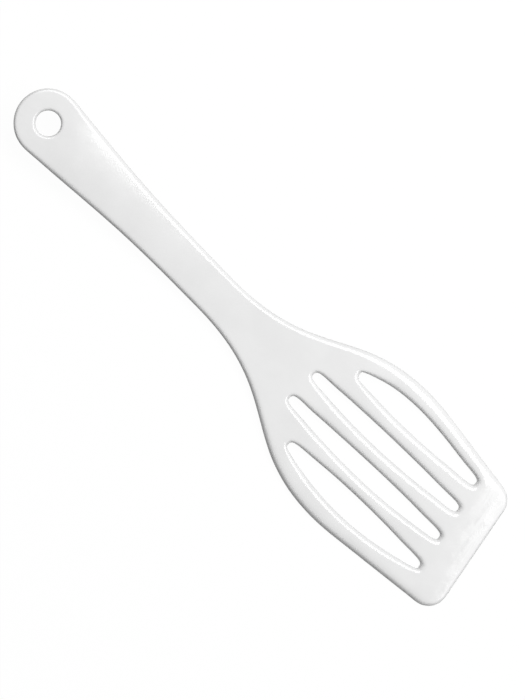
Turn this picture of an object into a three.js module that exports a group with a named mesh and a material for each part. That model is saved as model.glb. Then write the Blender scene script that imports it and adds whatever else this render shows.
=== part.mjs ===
// A pastry spatula with four slots, moulded in one piece of hard glossy white plastic.
// Millimetres, +Z up. +X runs from the hanging hole to the front edge, and the blade lies flat on z = 0.
import * as THREE from 'three';
import { TessellateModifier } from 'three/addons/modifiers/TessellateModifier.js';
import { mergeVertices } from 'three/addons/utils/BufferGeometryUtils.js';

// Handle, seen from above
const hangHoleRadius = 5.45;
const handleEndRadius = 14.8;
const handleLength = 102.2; // from the hanging hole to the narrowest part of the neck
const handleTaperDegrees = 4.5; // how far each side of the handle draws in
const handleTaperReach = 42; // how far that taper carries towards the neck
const neckHalfWidth = 9.72;
const neckSideShift = 0.62; // the neck sits a little to the left of the straight line
const neckReach = 53; // how far the level neck carries back into the handle

// Blade, seen from above
const flareLength = 96.5; // from the neck to the widest part of the blade
const flareNeckReach = 50.6; // how far the neck's width carries into the flare
const flareBladeReach = 44; // how far the blade's width carries back into the flare
const bladeHalfWidth = 36.9;
const bladeLength = 62.4; // from the widest part to the front edge, on the centre line
const shoulderReach = 6; // how far the widest part eases into the straight side
const sideTaperDegrees = 7.2;
const frontSlantDegrees = 11.2;
const frontCornerRadius = 9;
const lipWidth = 17.4; // solid strip between the slots and the front edge, along X

// Slots, from the right-hand side (-Y) to the left (+Y)
const sideStrip = 15.4; // from the start of an outer slot's line to the widest side
const slotRowShift = -0.42; // how far the row of slots sits off the centre line at its start
const slotLeanDegrees = 2.5; // the slots lean to the left towards the front
const slotStartRadius = 2.05;
const slotEndRadius = 1.9;
const innerSlotStart = 40.5; // the round start of the two middle slots, behind the widest part
const outerSlotStart = 26.5; // and of the two outer ones
const slotFullness = 0.36; // reach of a slot's curved side at each end, as a share of the slot
const bellyShare = 0.75; // a side's swing at the middle of the slot, as a share of that at its ends
// How far each side swings out from the slot's line, at its start and at its end, as shares of the pitch
const slots = [
  { start: outerSlotStart, right: [0.51, 0.48], left: [0.16, 0.13] },
  { start: innerSlotStart, right: [0.24, 0.34], left: [0.05, 0.13] },
  { start: innerSlotStart, right: [0.25, 0.23], left: [0.09, 0.09] },
  { start: outerSlotStart, right: [0.16, 0.13], left: [0.61, 0.22] },
];

// Side view
const handleEndThickness = 4.8;
const neckThickness = 6.2;
const lipThickness = 3.4; // where the slots end
const frontThickness = 1.6;
const lipCurve = 1.7; // the lip thins faster towards the front edge
const handleLiftDegrees = 6; // the handle rises from the table by this slope
const bendRadius = 300;
const bendStart = 9; // the underside is flat from this far in front of the neck
const crownRadius = 105; // the handle's top is a little round across
const crownStart = 4; // the crown begins this far in front of the hanging hole
const crownRise = 15; // and is full after this length
const crownFadeBack = 47; // it starts to die out this far behind the neck
const crownFadeFront = 13; // and ends this far in front of it
const edgeRound = 2.5; // width of the rounded edges
const edgeBarShare = 0.45; // at most this share of the bar between two slots
const edgeShare = 0.42; // share of the thickness that each rounded edge takes

// How finely the curves and the faces are divided
const endArcSteps = 18;
const sideSteps = 14;
const shoulderSteps = 3;
const cornerSteps = 6;
const slotSideSteps = 10;
const slotEndSteps = 6;
const holeSteps = 24;
const edgeSteps = 3;
const faceSize = 9; // longest edge of a facet
const splitRounds = 12;
const roundingError = 1e-6;

const { degToRad, lerp, smoothstep } = THREE.MathUtils;
const quarterTurn = Math.PI / 2;
const neckX = handleLength;
const widestX = neckX + flareLength;
const frontX = widestX + bladeLength;
const frontSlope = Math.tan(degToRad(frontSlantDegrees));
const middleSlot = (slots.length - 1) / 2;
const slotPitch = (bladeHalfWidth - sideStrip) / middleSlot;

const point = (x, y) => new THREE.Vector2(x, y);
const heading = (angle) => point(Math.cos(angle), Math.sin(angle));
const step = (from, angle, length) => from.clone().addScaledVector(heading(angle), length);

// X of the slanted front edge, y from the centre line
function frontEdgeX(y) {
  return frontX - frontSlope * y;
}

function arc(centre, radius, from, to, steps) {
  return new THREE.EllipseCurve(centre.x, centre.y, radius, radius, from, to).getPoints(steps);
}

// A curve that leaves `from` and arrives at `to` on their own headings
function eased(from, to, steps) {
  const out = step(from.at, from.heading, from.reach);
  const back = step(to.at, to.heading, -to.reach);
  return new THREE.CubicBezierCurve(from.at, out, back, to.at).getPoints(steps);
}

// One side, left (1) or right (-1), from the round end of the handle to the straight side of the blade
function flank(hand) {
  const taper = degToRad(handleTaperDegrees);
  const handle = {
    at: step(point(0, 0), hand * (quarterTurn - taper), handleEndRadius),
    heading: -hand * taper,
    reach: handleTaperReach,
  };
  const neck = point(neckX, hand * neckHalfWidth + neckSideShift);
  const widest = point(widestX, hand * bladeHalfWidth);
  const shoulder = point(widestX + shoulderReach, hand * bladeHalfWidth);
  const side = step(shoulder, -hand * degToRad(sideTaperDegrees), shoulderReach);
  const curves = [
    eased(handle, { at: neck, heading: 0, reach: neckReach }, sideSteps),
    eased(
      { at: neck, heading: 0, reach: flareNeckReach },
      { at: widest, heading: 0, reach: flareBladeReach },
      sideSteps,
    ),
    new THREE.QuadraticBezierCurve(widest, shoulder, side).getPoints(shoulderSteps),
  ];
  return [...joined(curves), side];
}

// Curves end to end, without the last point of each, which is the first of the next
function joined(curves) {
  return curves.flatMap((points) => points.slice(0, -1));
}

// Where a straight side of the blade, from `shoulder` on, would meet the front edge
function frontCorner(shoulder) {
  const slope = -Math.sign(shoulder.y) * Math.tan(degToRad(sideTaperDegrees));
  const level = shoulder.y - slope * shoulder.x;
  const x = (frontX - frontSlope * level) / (1 + frontSlope * slope);
  return point(x, level + slope * x);
}

// An arc that rounds the left turn at `corner`
function roundedCorner(before, corner, after) {
  const arriving = corner.clone().sub(before).angle();
  const turn = (after.clone().sub(corner).angle() - arriving + 4 * quarterTurn) % (4 * quarterTurn);
  const reach = frontCornerRadius * Math.tan(turn / 2);
  const start = step(corner, arriving, -reach);
  const centre = step(start, arriving + quarterTurn, frontCornerRadius);
  const from = arriving - quarterTurn;
  return arc(centre, frontCornerRadius, from, from + turn, cornerSteps);
}

// The whole outline, anticlockwise from the left of the handle's round end
function outline() {
  const left = flank(1);
  const right = flank(-1);
  const taper = degToRad(handleTaperDegrees);
  const shoulderLeft = left.at(-1);
  const shoulderRight = right.at(-1);
  const cornerLeft = frontCorner(shoulderLeft);
  const cornerRight = frontCorner(shoulderRight);
  const roundEnd = arc(
    point(0, 0),
    handleEndRadius,
    quarterTurn - taper,
    3 * quarterTurn + taper,
    endArcSteps,
  );
  return [
    ...joined([roundEnd]),
    ...right,
    ...roundedCorner(shoulderRight, cornerRight, cornerLeft),
    ...roundedCorner(cornerRight, cornerLeft, shoulderLeft),
    ...left.slice(1).reverse(),
  ];
}

// A leaf-shaped slot: two round ends, with a curved side between them on either hand
function slotOutline(slot, index) {
  const lean = degToRad(slotLeanDegrees);
  const start = point(widestX - slot.start, (index - middleSlot) * slotPitch + slotRowShift);
  const room = frontEdgeX(start.y) - lipWidth - slotEndRadius - start.x;
  const length = room / (Math.cos(lean) + frontSlope * Math.sin(lean));
  const end = step(start, lean, length);
  const reach = slotFullness * length;
  const swing = (share) => Math.asin((share * slotPitch) / reach);
  const [rightStart, rightEnd] = slot.right.map(swing);
  const [leftStart, leftEnd] = slot.left.map(swing);
  const rim = (centre, radius, angle) => ({
    at: step(centre, angle - quarterTurn, radius),
    heading: angle,
    reach,
  });
  const back = lean + 2 * quarterTurn;
  const rightSide = [
    rim(start, slotStartRadius, lean - rightStart),
    rim(end, slotEndRadius, lean + rightEnd),
  ];
  const leftSideBack = [
    rim(end, slotEndRadius, back - leftEnd),
    rim(start, slotStartRadius, back + leftStart),
  ];
  const roundEnd = (centre, radius, from, to) =>
    arc(centre, radius, from - quarterTurn, to - quarterTurn, slotEndSteps);
  return joined([
    eased(...rightSide, slotSideSteps),
    roundEnd(end, slotEndRadius, lean + rightEnd, back - leftEnd),
    eased(...leftSideBack, slotSideSteps),
    roundEnd(start, slotStartRadius, back + leftStart, lean - rightStart + 4 * quarterTurn),
  ]);
}

function hangHole() {
  return joined([arc(point(0, 0), hangHoleRadius, 0, 4 * quarterTurn, holeSteps)]);
}

// Height of the underside: flat under the blade, bent up at the neck, straight along the handle
function underside(x) {
  const lift = degToRad(handleLiftDegrees);
  const behind = Math.max(neckX + bendStart - x, 0);
  const bend = Math.min(behind, bendRadius * Math.sin(lift));
  const bentUp = bendRadius - Math.sqrt(bendRadius ** 2 - bend ** 2);
  return bentUp + (behind - bend) * Math.tan(lift);
}

// Thickness: fullest at the neck, thinned to the front lip, and crowned across the handle
function thickness(x, y) {
  const lipX = frontEdgeX(y) - lipWidth;
  const towardsNeck = lerp(handleEndThickness, neckThickness, smoothstep(x, 0, neckX));
  const body = lerp(towardsNeck, lipThickness, smoothstep(x, neckX, lipX));
  const alongLip = THREE.MathUtils.clamp((x - lipX) / lipWidth, 0, 1);
  const thinned = alongLip ** lipCurve * (lipThickness - frontThickness);
  const crownIn = smoothstep(x, crownStart, crownStart + crownRise);
  const crownOut = smoothstep(x, neckX - crownFadeBack, neckX + crownFadeFront);
  const crown = (y ** 2 / (2 * crownRadius)) * crownIn * (1 - crownOut);
  return body - thinned - crown;
}

// Trades the long diagonals of level facets for shorter ones, until each pair has its best
function evenFacets(plate) {
  const corners = plate.attributes.position;
  const facets = plate.index.array;
  const at = (i) => new THREE.Vector3().fromBufferAttribute(corners, i);
  const angleAt = (tip, a, b) => at(a).sub(at(tip)).angleTo(at(b).sub(at(tip)));
  const level = (a, others) => others.every((b) => corners.getZ(a) === corners.getZ(b));
  let traded;
  do {
    traded = new Set();
    const edges = new Map();
    for (let facet = 0; facet < facets.length; facet += 3) {
      for (let turn = 0; turn < 3 && !traded.has(facet); turn += 1) {
        const [a, b, tip] = [0, 1, 2].map((k) => facets[facet + ((turn + k) % 3)]);
        const across = edges.get(`${b} ${a}`);
        edges.set(`${a} ${b}`, { facet, tip });
        if (!across || traded.has(across.facet) || !level(a, [b, tip, across.tip])) {
          continue;
        }
        if (angleAt(tip, a, b) + angleAt(across.tip, a, b) > Math.PI + roundingError) {
          facets.set([a, across.tip, tip], facet);
          facets.set([across.tip, b, tip], across.facet);
          traded.add(facet).add(across.facet);
        }
      }
    }
  } while (traded.size > 0);
  return plate;
}

// Width of the bar between a slot and the one on its left, where both are fullest
function barWidth(index) {
  const mean = (pair) => (pair[0] + pair[1]) / 2;
  const swing = mean(slots[index].left) + mean(slots[index + 1].right);
  return slotPitch * (1 - bellyShare * swing) - slotStartRadius - slotEndRadius;
}

// The flat outline with its openings and rounded edges, one unit thick
function flatPlate() {
  const bars = slots.slice(1).map((slot, index) => barWidth(index));
  const edge = Math.min(edgeRound, edgeBarShare * Math.min(...bars));
  const shape = new THREE.Shape(outline());
  const openings = [hangHole(), ...slots.map(slotOutline)];
  shape.holes = openings.map((points) => new THREE.Path(points));
  const plate = new THREE.ExtrudeGeometry(shape, {
    depth: 1 - 2 * edgeShare,
    bevelThickness: edgeShare,
    bevelSize: edge,
    bevelOffset: -edge,
    bevelSegments: edgeSteps,
  });
  plate.translate(0, 0, edgeShare);
  plate.deleteAttribute('normal');
  plate.deleteAttribute('uv');
  const facets = evenFacets(mergeVertices(plate));
  return mergeVertices(new TessellateModifier(faceSize, splitRounds).modify(facets));
}

// The plate bent and thickened to the side view
function mouldedBody() {
  const body = flatPlate();
  const corners = body.attributes.position;
  for (let i = 0; i < corners.count; i += 1) {
    const x = corners.getX(i);
    const y = corners.getY(i);
    corners.setZ(i, underside(x) + corners.getZ(i) * thickness(x, y));
  }
  body.computeVertexNormals();
  return body;
}

const glossyWhite = new THREE.MeshStandardMaterial({ color: 0xe7e7e7, roughness: 0.15, metalness: 0 });

const moulding = new THREE.Mesh(mouldedBody(), glossyWhite);
moulding.name = 'spatula_moulding';

// The origin is under the middle of the whole spatula
const box = new THREE.Box3().setFromObject(moulding);
const centre = box.getCenter(new THREE.Vector3());
moulding.position.set(-centre.x, -centre.y, -box.min.z);

const spatula = new THREE.Group();
spatula.add(moulding);

export default spatula;
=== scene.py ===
from math import asin, cos, pi, radians, sin, sqrt, tan

import bmesh
import bpy
from mathutils import Matrix, Vector
from mathutils.geometry import interpolate_bezier


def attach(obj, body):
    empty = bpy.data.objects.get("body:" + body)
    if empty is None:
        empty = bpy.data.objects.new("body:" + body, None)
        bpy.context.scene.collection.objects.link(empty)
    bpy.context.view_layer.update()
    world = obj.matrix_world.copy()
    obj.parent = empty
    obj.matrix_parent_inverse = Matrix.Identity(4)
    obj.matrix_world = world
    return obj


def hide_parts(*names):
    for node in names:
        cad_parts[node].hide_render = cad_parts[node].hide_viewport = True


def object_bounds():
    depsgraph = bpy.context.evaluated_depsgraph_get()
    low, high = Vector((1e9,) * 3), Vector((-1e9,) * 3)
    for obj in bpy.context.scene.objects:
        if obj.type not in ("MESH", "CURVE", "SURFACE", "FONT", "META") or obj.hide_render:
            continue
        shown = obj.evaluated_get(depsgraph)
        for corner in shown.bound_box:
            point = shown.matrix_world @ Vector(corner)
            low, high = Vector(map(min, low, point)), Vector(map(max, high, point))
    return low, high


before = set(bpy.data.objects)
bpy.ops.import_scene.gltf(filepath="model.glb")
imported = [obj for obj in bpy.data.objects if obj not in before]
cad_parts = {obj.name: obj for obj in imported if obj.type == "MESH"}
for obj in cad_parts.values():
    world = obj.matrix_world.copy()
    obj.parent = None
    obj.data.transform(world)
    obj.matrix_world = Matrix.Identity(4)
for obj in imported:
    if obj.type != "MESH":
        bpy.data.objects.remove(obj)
cadLow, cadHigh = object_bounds()
print("frame loaded", sorted(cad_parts))

# Sizes in millimetres, measured along the spatula from the middle of the hanging hole, +Y to the left
outline = {
    "holeRadius": 5.45,
    "endRadius": 14.8,
    "neckX": 102.2,
    "taper": 4.5, "taperReach": 42, "neckReach": 53,
    "neckHalf": 9.72, "neckShift": 0.62,
    "widestX": 198.7, "bladeHalf": 36.9,
    "flareNeckReach": 50.6, "flareBladeReach": 44,
    "shoulderReach": 6, "sideTaper": 7.2,
    "frontX": 261.1, "frontSlant": 11.2, "cornerRadius": 9,
    "curvePoints": 200, "easePoints": 20,
    "sidePoints": range(8, 92, 2),  # along the straight side, from its shoulder to past the corner
}
slotRow = {
    "count": 4, "outer": (0, 3),  # numbered from the right
    "innerStart": 158.2, "outerStart": 172.2,
    "pitch": 14.333, "rowShift": -0.42, "lean": 2.5,
    "startRadius": 2.05, "endRadius": 1.9, "fullness": 0.36, "lip": 17.4,
    # how far the right side and the left side swing out, each at the slot's start and its end
    "swing": [
        ((7.3, 6.9), (2.3, 1.9)),
        ((3.4, 4.9), (0.7, 1.9)),
        ((3.6, 3.3), (1.3, 1.3)),
        ((2.3, 1.9), (8.7, 3.2)),
    ],
}
sideView = {
    "endThickness": 4.8, "neckThickness": 6.2,
    "lipThickness": 3.4, "frontThickness": 1.6, "lipCurve": 1.7,
    "lift": 6, "bendRadius": 300, "bendStart": 9,
    "crownRadius": 105, "crownIn": (4, 19), "crownOut": (55.2, 115.2),
}
# Rounded edges: an arc on top in rings at these angles, down to a crisp parting line at the first
edge = {
    "radius": 2.4, "depth": 2.3, "topShare": 0.75, "angles": [12, 38, 64, 90],
    "shoulderRing": 1.01,  # one more ring inside the arc
    "shoulder": 1.4,  # how far in that ring reaches, in arcs
    "ofBar": 0.43, "ofBarShoulder": 0.48,  # how much of a bar's width one edge may take
    "holeBand": 1, "slotBand": 4,  # points this near to the hole or to a slot's sides belong to it
    # in each place: the share of the radius, and how much of the depth falls inside the arc
    "kinds": {
        "hole": (0.54, 0),
        "handleEnd": (0.6, 0), "handle": (0.8, 0), "blade": (1.15, 0.05), "front": (0.45, 0),
        "slotStart": (0.75, 0), "slot": (0.9, 0.02), "slotEnd": (1.3, 0),
    },
    # where one kind passes into the next
    "endToHandle": (-10, 15), "shoulderFrom": 150,
    "pastFront": (0.5, 9), "pastStart": (2.5, 12), "pastEnd": (2.5, 8),
}
# The net of lines along the spatula and columns across it
net = {
    "handleColumns": [
        0, 5.5, 14.5, 23, 32, 42, 53, 64, 75, 85.5, 95, 104.5, 114, 124, 133.5, 142, 150.5],
    "holeArc": 10.6, "holeArcReach": 62,  # the second column bends round the hole
    "betweenStarts": 165.2,
    "slotColumns": 8,
    "lipColumns": [0.27, 0.53, 0.77, 1],  # shares of the way from the slots' ends to the front edge
    "beforeCorner": 0.55,  # the sides' share of the way to the corner in the first of these
    "sideStrip": 4.6,
    "outerLines": (0.22, 0.44),  # where the outer slots' lines run beside the inner slots' starts
    "slantRounds": 4, "rimRounds": 12,
    "spinSteps": 9, "spinMerge": 0.3, "rimMerge": 0.01,
    "roundness": 2,
}
lineCount = 14  # the two sides, and three lines for each slot
innerLines = lineCount - 2
lastLine = lineCount - 1
innerColumn = len(net["handleColumns"])  # where the inner slots start
outerColumn = innerColumn + 2
endColumn = outerColumn + net["slotColumns"]
frontColumn = endColumn + len(net["lipColumns"])
frontSlope = tan(radians(outline["frontSlant"]))
ringStretch = 3 / (2 + cos(radians(edge["angles"][1] - edge["angles"][0])))  # subdivision pulls rings in
mmPerMetre = 1000
holeX = cadLow.x * mmPerMetre + outline["endRadius"]  # the middle of the hole in the frame


def lerp(a, b, w):
    return a + (b - a) * w


def smooth(x, low, high):
    w = min(max((x - low) / (high - low), 0), 1)
    return w * w * (3 - 2 * w)


def heading(degrees):
    return Vector((cos(radians(degrees)), sin(radians(degrees))))


def frontEdgeX(y):
    return outline["frontX"] - frontSlope * y


# One long edge of the spatula as a run of points, hand 1 for the left side and -1 for the right
def sideCurve(hand):
    o = outline
    start = heading(hand * (90 - o["taper"])) * o["endRadius"]
    neck = Vector((o["neckX"], hand * o["neckHalf"] + o["neckShift"]))
    widest = Vector((o["widestX"], hand * o["bladeHalf"]))
    shoulder = widest + Vector((o["shoulderReach"], 0))
    along = heading(-hand * o["sideTaper"])
    level = Vector((1, 0))
    handle = interpolate_bezier(
        start, start + heading(-hand * o["taper"]) * o["taperReach"],
        neck - level * o["neckReach"], neck, o["curvePoints"])
    flare = interpolate_bezier(
        neck, neck + level * o["flareNeckReach"],
        widest - level * o["flareBladeReach"], widest, o["curvePoints"])
    ease = interpolate_bezier(
        widest, lerp(widest, shoulder, 2 / 3),
        shoulder + along * o["shoulderReach"] / 3, shoulder + along * o["shoulderReach"], o["easePoints"])
    straight = [shoulder + along * reach for reach in o["sidePoints"]]
    return [*handle, *flare[1:], *ease[1:], *straight]


def heightAt(points, x):
    for a, b in zip(points, points[1:]):
        if a.x <= x <= b.x:
            return lerp(a.y, b.y, (x - a.x) / max(b.x - a.x, 1e-9))
    return points[0].y if x < points[0].x else points[-1].y


sides = {hand: sideCurve(hand) for hand in (1, -1)}


# Start, end and the two curved sides of a leaf-shaped slot
def slotCurves(index):
    s = slotRow
    startX = s["outerStart"] if index in s["outer"] else s["innerStart"]
    start = Vector((startX, (index - (s["count"] - 1) / 2) * s["pitch"] + s["rowShift"]))
    along = heading(s["lean"])
    room = frontEdgeX(start.y) - s["lip"] - s["endRadius"] - start.x
    length = room / (along.x + frontSlope * along.y)
    end = start + along * length
    reach = s["fullness"] * length
    curves = []
    for hand, swings in zip((-1, 1), s["swing"][index]):
        out, back = (asin(w / reach) for w in swings)
        turn = radians(s["lean"])
        leave = Vector((cos(turn + hand * out), sin(turn + hand * out)))
        arrive = Vector((cos(turn - hand * back), sin(turn - hand * back)))
        first = start + hand * s["startRadius"] * Vector((-leave.y, leave.x))
        last = end + hand * s["endRadius"] * Vector((-arrive.y, arrive.x))
        curves.append(interpolate_bezier(
            first, first + leave * reach, last - arrive * reach, last, outline["curvePoints"]))
    return {"start": start, "end": end, "along": along, "right": curves[0], "left": curves[1]}


slots = [slotCurves(index) for index in range(slotRow["count"])]


# Five points round a front corner of the blade, from the side to the front edge
def cornerPoints(hand):
    o = outline
    a, b = sides[hand][-2], sides[hand][-1]
    slope = (b.y - a.y) / (b.x - a.x)
    level = a.y - slope * a.x
    x = (o["frontX"] - frontSlope * level) / (1 + frontSlope * slope)
    corner = Vector((x, level + slope * x))
    fromSide = (a - b).normalized()
    fromFront = hand * Vector((frontSlope, -1)).normalized()
    middle = (fromSide + fromFront).normalized()
    half = fromSide.angle(fromFront) / 2
    centre = corner + middle * (o["cornerRadius"] / sin(half))
    first = (corner + fromSide * (o["cornerRadius"] / tan(half))) - centre
    last = (corner + fromFront * (o["cornerRadius"] / tan(half))) - centre
    return [centre + first.slerp(last, step / 4) * o["cornerRadius"] for step in range(5)]


corners = {hand: cornerPoints(hand) for hand in (1, -1)}


# X of a column where it crosses height y: straight by the handle, slanted with the front edge by the lip
def columnX(column, y):
    if column < innerColumn:
        return net["handleColumns"][column]
    if column == innerColumn:
        return slotRow["innerStart"]
    if column == innerColumn + 1:
        return net["betweenStarts"]
    w = (column - outerColumn) / (endColumn - outerColumn)
    slanted = frontEdgeX(y) - slotRow["lip"] - slotRow["endRadius"]
    return lerp(slotRow["outerStart"], slanted, w)


def slotColumn(index):
    return outerColumn if index in slotRow["outer"] else innerColumn


# A point on one of the three lines of a slot: its right side, its middle or its left side
def slotPoint(index, part, column):
    slot = slots[index]
    first = slotColumn(index)
    if part == 1:
        if column == first:
            return slot["start"] - slot["along"] * slotRow["startRadius"]
        if column == endColumn:
            return slot["end"] + slot["along"] * slotRow["endRadius"]
        w = (column - first) / (endColumn - first)
        return lerp(slot["start"], slot["end"], w)
    points = slot["right"] if part == 0 else slot["left"]
    if column == first:
        return points[0].copy()
    if column == endColumn:
        return points[-1].copy()
    x = columnX(column, lerp(slot["start"].y, slot["end"].y, 0.5))
    return Vector((x, heightAt(points, x)))


# Heights of the twelve inner lines where no slot holds them
def freeHeights(column):
    x = columnX(column, 0)
    right = heightAt(sides[-1], x) + net["sideStrip"]
    left = heightAt(sides[1], x) - net["sideStrip"]
    even = [lerp(right, left, step / (innerLines - 1)) for step in range(innerLines)]
    spread = [slotPoint(line // 3, line % 3, innerColumn).y for line in range(innerLines)]
    near, far = net["outerLines"]
    spread[0:3] = [right, lerp(right, spread[3], near), lerp(right, spread[3], far)]
    spread[9:12] = [lerp(left, spread[8], far), lerp(left, spread[8], near), left]
    w = smooth(x, outline["neckX"], slotRow["innerStart"])
    if column < innerColumn:
        span = (right - left) / (spread[0] - spread[-1])
        spread = [right + (y - spread[0]) * span for y in spread]
    return [lerp(a, b, w) for a, b in zip(even, spread)]


def frontPoint(line):
    if line < 3:
        return corners[-1][2 + line]
    if line > lastLine - 3:
        return corners[1][2 + lastLine - line]
    return lerp(corners[-1][4], corners[1][4], (line - 2) / (lastLine - 4))


# Where the crossing of a line and a column lies in the plan
def netPoint(line, column):
    if line in (0, lastLine):
        hand = -1 if line == 0 else 1
        if column == 0:
            return Vector((0, hand * outline["endRadius"]))
        if column > endColumn + 1:
            return corners[hand][column - endColumn - 2]
        if column == endColumn + 1:
            return lerp(netPoint(line, endColumn), corners[hand][0], net["beforeCorner"])
        y = hand * outline["bladeHalf"]
        for _ in range(net["slantRounds"]):
            x = columnX(column, y)
            y = heightAt(sides[hand], x)
        return Vector((x, y))
    if column > endColumn:
        w = net["lipColumns"][column - endColumn - 1]
        return lerp(netPoint(line, endColumn), frontPoint(line), w)
    index, part = (line - 1) // 3, (line - 1) % 3
    if column >= slotColumn(index):
        return slotPoint(index, part, column)
    if column == innerColumn + 1:
        ahead = slots[index]["start"] if part == 1 else slotPoint(index, part, outerColumn)
        return lerp(netPoint(line, innerColumn), ahead, 0.5)
    if column == 0:
        if line in (1, innerLines):
            return Vector((0, (-1 if line == 1 else 1) * (outline["endRadius"] - net["sideStrip"])))
        return heading(lerp(-90, 90, (line - 2) / (lastLine - 4))) * outline["holeRadius"]
    if column == 1:
        return heading(net["holeArcReach"] * (2 * (line - 1) / (innerLines - 1) - 1)) * net["holeArc"]
    return Vector((columnX(column, 0), freeHeights(column)[line - 1]))


# The plan as one flat sheet of quads: a grid drawn out over the net, and the round end spun on
def flatSheet():
    bm = bmesh.new()
    bmesh.ops.create_grid(bm, x_segments=frontColumn, y_segments=lastLine, size=0.5)
    place = {}
    for v in bm.verts:
        column = round((v.co.x + 0.5) * frontColumn)
        line = round((v.co.y + 0.5) * lastLine)
        place[v] = column, line
    for v, (column, line) in place.items():
        v.co = netPoint(line, column).to_3d()
    cut = []
    for face in bm.faces:
        column = min(place[v][0] for v in face.verts)
        line = min(place[v][1] for v in face.verts)
        index, part = (line - 1) // 3, (line - 1) % 3
        if 1 <= line <= innerLines and part < 2 and slotColumn(index) <= column < endColumn:
            cut.append(face)
    ends = [next(v for v in place if place[v] == (0, line)) for line in (0, 1, 2)]
    bmesh.ops.delete(bm, geom=cut, context="FACES")
    edges = [bm.edges.get(ends[0:2]), bm.edges.get(ends[1:3])]
    bmesh.ops.spin(bm, geom=ends + edges, cent=(0, 0, 0), axis=(0, 0, 1), dvec=(0, 0, 0),
                   angle=-pi, steps=net["spinSteps"], use_merge=False)
    bmesh.ops.remove_doubles(bm, verts=bm.verts, dist=net["spinMerge"])
    bmesh.ops.recalc_face_normals(bm, faces=bm.faces)
    if sum(face.normal.z for face in bm.faces) < 0:
        bmesh.ops.reverse_faces(bm, faces=bm.faces)
    return bm


def neighbours(v):
    return [e.other_vert(v) for e in v.link_edges if e.is_boundary]


# Moves the edge's points out so that the subdivided edge runs through where they were
def drawRim(bm):
    rim = [v for v in bm.verts if v.is_boundary]
    wanted = {v: v.co.copy() for v in rim}
    for _ in range(net["rimRounds"]):
        step = {}
        for v in rim:
            a, b = neighbours(v)
            step[v] = wanted[v] - (a.co + 4 * v.co + b.co) / 6
        for v in rim:
            v.co += step[v]


# Height of the underside: flat under the blade, bent up at the neck, straight along the handle
def undersideZ(x):
    s = sideView
    behind = max(outline["neckX"] + s["bendStart"] - x, 0)
    bend = min(behind, s["bendRadius"] * sin(radians(s["lift"])))
    rise = s["bendRadius"] - sqrt(s["bendRadius"] ** 2 - bend ** 2)
    return rise + (behind - bend) * tan(radians(s["lift"]))


def thicknessAt(x, y):
    s = sideView
    lipX = frontEdgeX(y) - slotRow["lip"]
    body = lerp(s["endThickness"], s["neckThickness"], smooth(x, 0, outline["neckX"]))
    body = lerp(body, s["lipThickness"], smooth(x, outline["neckX"], lipX))
    onLip = min(max((x - lipX) / slotRow["lip"], 0), 1)
    thinned = onLip ** s["lipCurve"] * (s["lipThickness"] - s["frontThickness"])
    crown = y * y / (2 * s["crownRadius"]) * smooth(x, *s["crownIn"]) * (1 - smooth(x, *s["crownOut"]))
    return body - thinned - crown


# At a point of an edge: how far in the arc and its shoulder reach, in radii, and the shoulder's drop
def edgePlace(at):
    kinds = {name: Vector(place) for name, place in edge["kinds"].items()}
    rims = [*sides.values(), *(slot["right"] + slot["left"] for slot in slots)]
    gaps = [min((p - at).length for p in rim) for rim in rims]
    if at.length < outline["holeRadius"] + edge["holeBand"]:
        place = kinds["hole"]
    elif min(gaps[2:]) > edge["slotBand"]:
        place = lerp(kinds["handleEnd"], kinds["handle"], smooth(at.x, *edge["endToHandle"]))
        arcWay = smooth(at.x, outline["neckX"], outline["widestX"])
        dropWay = smooth(at.x, edge["shoulderFrom"], outline["widestX"])
        blade = kinds["blade"]
        place = Vector((lerp(place.x, blade.x, arcWay), lerp(place.y, blade.y, dropWay)))
        place = lerp(kinds["front"], place, smooth(frontEdgeX(at.y) - at.x, *edge["pastFront"]))
    else:
        toStart, toEnd = (min((at - slot[end]).length for slot in slots) for end in ("start", "end"))
        place = lerp(kinds["slotStart"], kinds["slot"], smooth(toStart, *edge["pastStart"]))
        place = lerp(kinds["slotEnd"], place, smooth(toEnd, *edge["pastEnd"]))
    room = sorted(gaps)[1] / edge["radius"]
    arc = min(place.x, edge["ofBar"] * room)
    return arc, min(arc * edge["shoulder"], edge["ofBarShoulder"] * room), place.y


# How far in and how far up each ring lies, as shares of the rounding
def ringPlaces():
    first = radians(edge["angles"][0])
    places = [(0, 0)]
    for angle in edge["angles"][1:]:
        turn = radians(angle)
        inward = 1 - ringStretch * cos(turn) / cos(first)
        upward = (ringStretch * sin(turn) - sin(first)) / (1 - sin(first))
        places.append((inward, min(upward, 1)))
    places.append((edge["shoulderRing"], 1))
    return places


def mouldingMesh():
    bm = flatSheet()
    drawRim(bm)
    ring = bm.verts.layers.int.new("ring")
    crease = bm.edges.layers.float.new("crease_edge")
    places = ringPlaces()
    last = len(places) - 1
    inside = list(bm.faces)
    for v in bm.verts:
        v[ring] = 0 if v.is_boundary else last + 1
    for number in range(1, last + 1):
        step = edge["radius"] * (places[number][0] - places[number - 1][0])
        band = bmesh.ops.inset_region(bm, faces=inside, use_boundary=True, thickness=step)["faces"]
        inner = {v for face in inside for v in face.verts}
        for v in {v for face in band for v in face.verts}:
            v[ring] = number if v in inner else number - 1
    # each ring point knows the edge point it belongs to, and moves to or from it
    root = {v: v for v in bm.verts if v[ring] == 0}
    for number in range(1, last + 1):
        for v in bm.verts:
            if v[ring] == number:
                linked = (e.other_vert(v) for e in v.link_edges)
                root[v] = next(root[w] for w in linked if w[ring] == number - 1)
    share = {v: edgePlace(w.co.xy) for v, w in root.items()}
    for v, w in root.items():
        arc, shoulder, _ = share[v]
        v.co = lerp(w.co, v.co, shoulder if v[ring] == last else arc)
    for e in bm.edges:
        if e.is_boundary:
            e[crease] = 1
            e.smooth = False
    print("sheet", len(bm.verts), "points", len(bm.faces), "faces")
    return bm, ring, share


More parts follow.
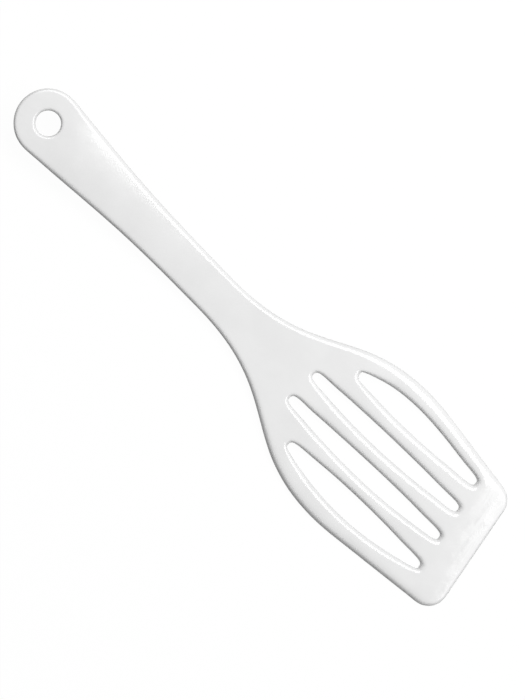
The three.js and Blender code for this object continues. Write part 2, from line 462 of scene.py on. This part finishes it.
def makeBody():
    bm, ring, share = mouldingMesh()
    rise = [place[1] for place in ringPlaces()] + [1]
    arcRings = len(edge["angles"])
    twin = bmesh.ops.duplicate(bm, geom=bm.verts[:] + bm.edges[:] + bm.faces[:])
    lower = {v for v in twin["geom"] if isinstance(v, bmesh.types.BMVert)}
    for v in list(share):
        share[twin["vert_map"][v]] = share[v]
    bmesh.ops.reverse_faces(bm, faces=[f for f in twin["geom"] if isinstance(f, bmesh.types.BMFace)])
    for v in bm.verts:
        under, thick = undersideZ(v.co.x), thicknessAt(v.co.x, v.co.y)
        arc, _, drop = share.get(v, (1, 1, 0))
        up = rise[v[ring]] * (1 - drop if v[ring] < arcRings else 1)
        topPart = min(edge["depth"] * arc, edge["topShare"] * thick)
        rim = thick - topPart
        v.co.z = under + (rim * (1 - up) if v in lower else rim + topPart * up)
    bmesh.ops.remove_doubles(bm, verts=[v for v in bm.verts if v[ring] == 0], dist=net["rimMerge"])
    bmesh.ops.recalc_face_normals(bm, faces=bm.faces)
    bmesh.ops.translate(bm, vec=(holeX, 0, 0), verts=bm.verts)
    bmesh.ops.scale(bm, vec=[1 / mmPerMetre] * 3, verts=bm.verts)
    for face in bm.faces:
        face.smooth = True
    mesh = bpy.data.meshes.new("spatulaBody")
    bm.to_mesh(mesh)
    gaps = sum(not e.is_manifold for e in bm.edges)
    bm.free()
    body = bpy.data.objects.new("spatulaBody", mesh)
    bpy.context.scene.collection.objects.link(body)
    finer = body.modifiers.new("rounding", "SUBSURF")
    finer.levels = finer.render_levels = net["roundness"]
    print("body", len(mesh.polygons), "faces", gaps, "open edges")
    return body


spatulaBody = makeBody()
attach(spatulaBody, "root")
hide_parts("spatula_moulding")

# Hard glossy white plastic that has been used: faintly mottled, wavy and hairlined,
# duller where the handle is held, and streaked along the worn lip
melamine = {
    "pale": (0.805, 0.805, 0.805), "dull": (0.78, 0.78, 0.78), "ior": 1.45,
    "plainRough": (0.08, 0.12), "gripRough": (0.176, 0.22), "lipRough": (0.08, 0.4),
    "gripEnd": (-0.095, -0.065),  # where the dull handle turns glossy, along the frame's X in metres
    "lipTurn": 25, "lipStart": (0.226, 0.236),  # the worn lip's line, turned, and its way from the hole
    # marks: their size along and across in metres, their turn in degrees, and their detail
    "mottle": ((0.022, 0.022), 0, 4),
    "scuffs": ((0.006, 0.006), 0, 2),
    "waves": ((0.012, 0.008), 15, 2),
    "hairs": ((0.035, 0.0012), -20, 1),
    "streaks": ((0.0019, 0.016), outline["frontSlant"], 4),
    "contrast": (0.35, 0.65), "hairContrast": (0.55, 0.68),
    "waveHeight": 0.00025, "hairShare": 0.012, "relief": 0.3,
}


def makeMelamine():
    m = melamine
    paint = bpy.data.materials.new("glossyMelamine")
    paint.use_nodes = True
    nodes, links = paint.node_tree.nodes, paint.node_tree.links
    shader = nodes["Principled BSDF"]
    shader.inputs["IOR"].default_value = m["ior"]
    place = nodes.new("ShaderNodeTexCoord").outputs["Object"]

    def turned(turn, size):
        mapping = nodes.new("ShaderNodeMapping")
        mapping.vector_type = "TEXTURE"
        mapping.inputs["Rotation"].default_value[2] = radians(turn)
        mapping.inputs["Scale"].default_value = (*size, 1)
        links.new(place, mapping.inputs["Vector"])
        return mapping.outputs["Vector"]

    def marks(name):
        size, turn, detail = m[name]
        noise = nodes.new("ShaderNodeTexNoise")
        noise.inputs["Scale"].default_value = 1
        noise.inputs["Detail"].default_value = detail
        links.new(turned(turn, size), noise.inputs["Vector"])
        return noise.outputs[0]

    def alongX(vector):
        split = nodes.new("ShaderNodeSeparateXYZ")
        links.new(vector, split.inputs[0])
        return split.outputs["X"]

    def spread(value, fromRange, toRange):
        to = nodes.new("ShaderNodeMapRange")
        to.interpolation_type = "SMOOTHSTEP"
        names = ("From Min", "From Max", "To Min", "To Max")
        for name, number in zip(names, (*fromRange, *toRange)):
            to.inputs[name].default_value = number
        links.new(value, to.inputs["Value"])
        return to.outputs["Result"]

    def blend(share, a, b):
        mix = nodes.new("ShaderNodeMix")
        for value, socket in zip((share, a, b), ("Factor", "A", "B")):
            links.new(value, mix.inputs[socket])
        return mix.outputs["Result"]

    hole = holeX / mmPerMetre * cos(radians(m["lipTurn"]))
    lip = spread(alongX(turned(m["lipTurn"], (1, 1))), [hole + reach for reach in m["lipStart"]], (0, 1))
    held = spread(alongX(place), m["gripEnd"], (1, 0))
    streaks = marks("streaks")
    scuffs = marks("scuffs")
    mottle = spread(marks("mottle"), m["contrast"], (0, 1))
    tone = blend(lip, mottle, spread(streaks, m["contrast"], (0, 1)))
    colour = nodes.new("ShaderNodeMix")
    colour.data_type = "RGBA"
    colour.inputs["A"].default_value = (*m["dull"], 1)
    colour.inputs["B"].default_value = (*m["pale"], 1)
    links.new(tone, colour.inputs["Factor"])
    links.new(colour.outputs["Result"], shader.inputs["Base Color"])
    plain, grip = (spread(scuffs, m["contrast"], m[name]) for name in ("plainRough", "gripRough"))
    rough = blend(lip, blend(held, plain, grip), spread(streaks, m["contrast"], m["lipRough"]))
    links.new(rough, shader.inputs["Roughness"])
    height = nodes.new("ShaderNodeMath")
    height.operation = "MULTIPLY_ADD"
    height.inputs[1].default_value = m["hairShare"]
    links.new(spread(marks("hairs"), m["hairContrast"], (1, 0)), height.inputs[0])
    links.new(marks("waves"), height.inputs[2])
    bump = nodes.new("ShaderNodeBump")
    bump.inputs["Strength"].default_value = m["relief"]
    bump.inputs["Distance"].default_value = m["waveHeight"]
    links.new(height.outputs[0], bump.inputs["Height"])
    links.new(bump.outputs["Normal"], shader.inputs["Normal"])
    print("material", paint.name, len(nodes), "nodes")
    return paint


spatulaBody.data.materials.append(makeMelamine())

# A white table just under the spatula: white to the camera and in reflections, and faintly shaded
table = {
    "halfSize": 6, "drop": 0.0002,
    "colour": (0.35, 0.35, 0.35), "seenColour": (0.98, 0.98, 0.98), "whiteShare": 0.975,
}


def makeTable():
    mesh = bpy.data.meshes.new("table")
    bm = bmesh.new()
    bmesh.ops.create_grid(bm, x_segments=1, y_segments=1, size=table["halfSize"])
    bmesh.ops.translate(bm, vec=(0, 0, -table["drop"]), verts=bm.verts)
    bm.to_mesh(mesh)
    bm.free()
    piece = bpy.data.objects.new("table", mesh)
    bpy.context.scene.collection.objects.link(piece)
    paint = bpy.data.materials.new("whiteTable")
    paint.use_nodes = True
    nodes, links = paint.node_tree.nodes, paint.node_tree.links
    nodes.clear()
    path = nodes.new("ShaderNodeLightPath")
    seen = path.outputs["Is Camera Ray"]
    for ray in ("Is Glossy Ray", "Is Transmission Ray"):
        either = nodes.new("ShaderNodeMath")
        either.operation = "MAXIMUM"
        links.new(seen, either.inputs[0])
        links.new(path.outputs[ray], either.inputs[1])
        seen = either.outputs[0]
    share = nodes.new("ShaderNodeMath")
    share.operation = "MULTIPLY"
    share.inputs[1].default_value = table["whiteShare"]
    links.new(seen, share.inputs[0])
    colour = nodes.new("ShaderNodeMix")
    colour.data_type = "RGBA"
    colour.inputs["A"].default_value = (*table["colour"], 1)
    colour.inputs["B"].default_value = (*table["seenColour"], 1)
    links.new(seen, colour.inputs["Factor"])
    lit = nodes.new("ShaderNodeBsdfDiffuse")
    links.new(colour.outputs["Result"], lit.inputs["Color"])
    white = nodes.new("ShaderNodeEmission")
    white.inputs["Strength"].default_value = 1
    mix = nodes.new("ShaderNodeMixShader")
    links.new(share.outputs[0], mix.inputs[0])
    links.new(lit.outputs[0], mix.inputs[1])
    links.new(white.outputs[0], mix.inputs[2])
    out = nodes.new("ShaderNodeOutputMaterial")
    links.new(mix.outputs[0], out.inputs["Surface"])
    mesh.materials.append(paint)
    print("table", table["drop"] * mmPerMetre, "mm under the blade")


makeTable()

# One large soft box hung level over the left side of the spatula, and a dim room around it
softbox = {
    "height": 1.2, "near": 0.27, "depth": 0.7,
    "along": -0.04, "length": 1.94, "turn": -13, "watts": 29,
}
room = {"grey": 0.08}


def makeLight():
    lampData = bpy.data.lights.new("softbox", "AREA")
    lampData.shape = "RECTANGLE"
    lampData.size, lampData.size_y = softbox["length"], softbox["depth"]
    lampData.energy = softbox["watts"]
    lamp = bpy.data.objects.new("softbox", lampData)
    bpy.context.scene.collection.objects.link(lamp)
    lamp.visible_camera = False
    turn = Matrix.Rotation(radians(softbox["turn"]), 4, "Z")
    lamp.matrix_world = turn @ Matrix.Translation(
        (softbox["along"], softbox["near"] + softbox["depth"] / 2, softbox["height"]))
    world = bpy.data.worlds.new("room")
    bpy.context.scene.world = world
    world.use_nodes = True
    back = world.node_tree.nodes["Background"]
    back.inputs["Color"].default_value = (room["grey"], room["grey"], room["grey"], 1)
    back.inputs["Strength"].default_value = 1
    print("light at", [round(v, 2) for v in lamp.matrix_world.translation])


makeLight()

# The camera looks almost straight down, from a little to the back and the right,
# turned so that the spatula lies across the picture; millimetres and degrees
view = {
    "fromNeck": 31.125, "side": -1.78, "level": 3.5, "distance": 1672,
    "turn": 45.66, "leanBack": 2.2, "leanRight": 2.4,
    "lens": 200, "sensor": 36,
}


def makeCamera():
    cameraData = bpy.data.cameras.new("camera")
    cameraData.lens = view["lens"]
    cameraData.sensor_width = view["sensor"]
    camera = bpy.data.objects.new("camera", cameraData)
    bpy.context.scene.collection.objects.link(camera)
    aim = Vector((holeX + outline["neckX"] + view["fromNeck"], view["side"], view["level"]))
    leanRight = Matrix.Rotation(radians(view["leanRight"]), 4, "X")
    leanBack = Matrix.Rotation(-radians(view["leanBack"]), 4, "Y")
    turned = leanRight @ leanBack @ Matrix.Rotation(radians(view["turn"]), 4, "Z")
    stand = aim + turned @ Vector((0, 0, view["distance"]))
    camera.matrix_world = Matrix.Translation(stand / mmPerMetre) @ turned
    bpy.context.scene.camera = camera
    print("camera at", [round(v, 3) for v in camera.matrix_world.translation])


makeCamera()
bpy.context.scene.view_settings.view_transform = "Standard"
